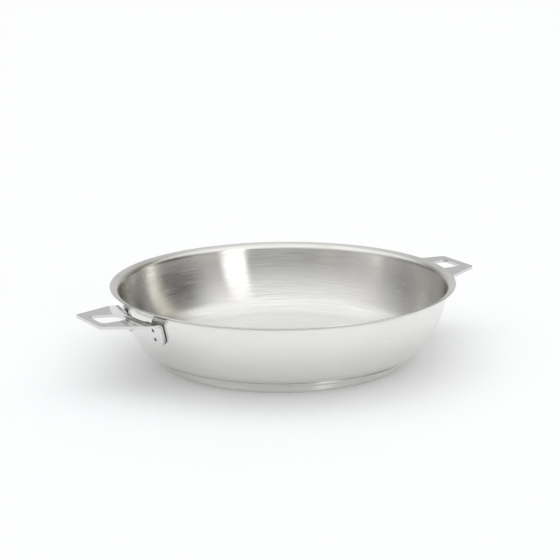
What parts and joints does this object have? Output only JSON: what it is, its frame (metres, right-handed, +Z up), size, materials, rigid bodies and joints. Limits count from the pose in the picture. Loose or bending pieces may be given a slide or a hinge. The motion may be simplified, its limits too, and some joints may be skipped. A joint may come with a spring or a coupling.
{
  "type": "frying pan",
  "caption": "Shallow stainless steel frying pan with a flared pouring lip, a sandwich base and windowed side lugs for a detachable handle.",
  "frame": {"origin": "centre of the foot, on the surface that the pan stands on", "axes": "+Z up along the pan's axis, +X through the middle of the right lug, +Y across, towards the far side"},
  "size_m": [0.3636, 0.29, 0.0657],
  "materials": {
    "pan_steel": "polished outside, brushed in rings inside",
    "base_steel": "polished",
    "lug_steel": "polished",
    "core_aluminium": "rolled",
    "braze_alloy": "as brazed",
    "weld_steel": "as welded, darkened"
  },
  "bodies": {
    "root": {"pan_body": "pan_steel", "base_cap": "base_steel", "upper_braze": "braze_alloy", "lower_braze": "braze_alloy", "aluminium_core": "core_aluminium", "left_lug": "lug_steel", "right_lug": "lug_steel", "left_front_upper_weld": "weld_steel", "left_front_lower_weld": "weld_steel", "left_rear_upper_weld": "weld_steel", "left_rear_lower_weld": "weld_steel", "right_front_upper_weld": "weld_steel", "right_front_lower_weld": "weld_steel", "right_rear_upper_weld": "weld_steel", "right_rear_lower_weld": "weld_steel"}
  },
  "joints": []
}
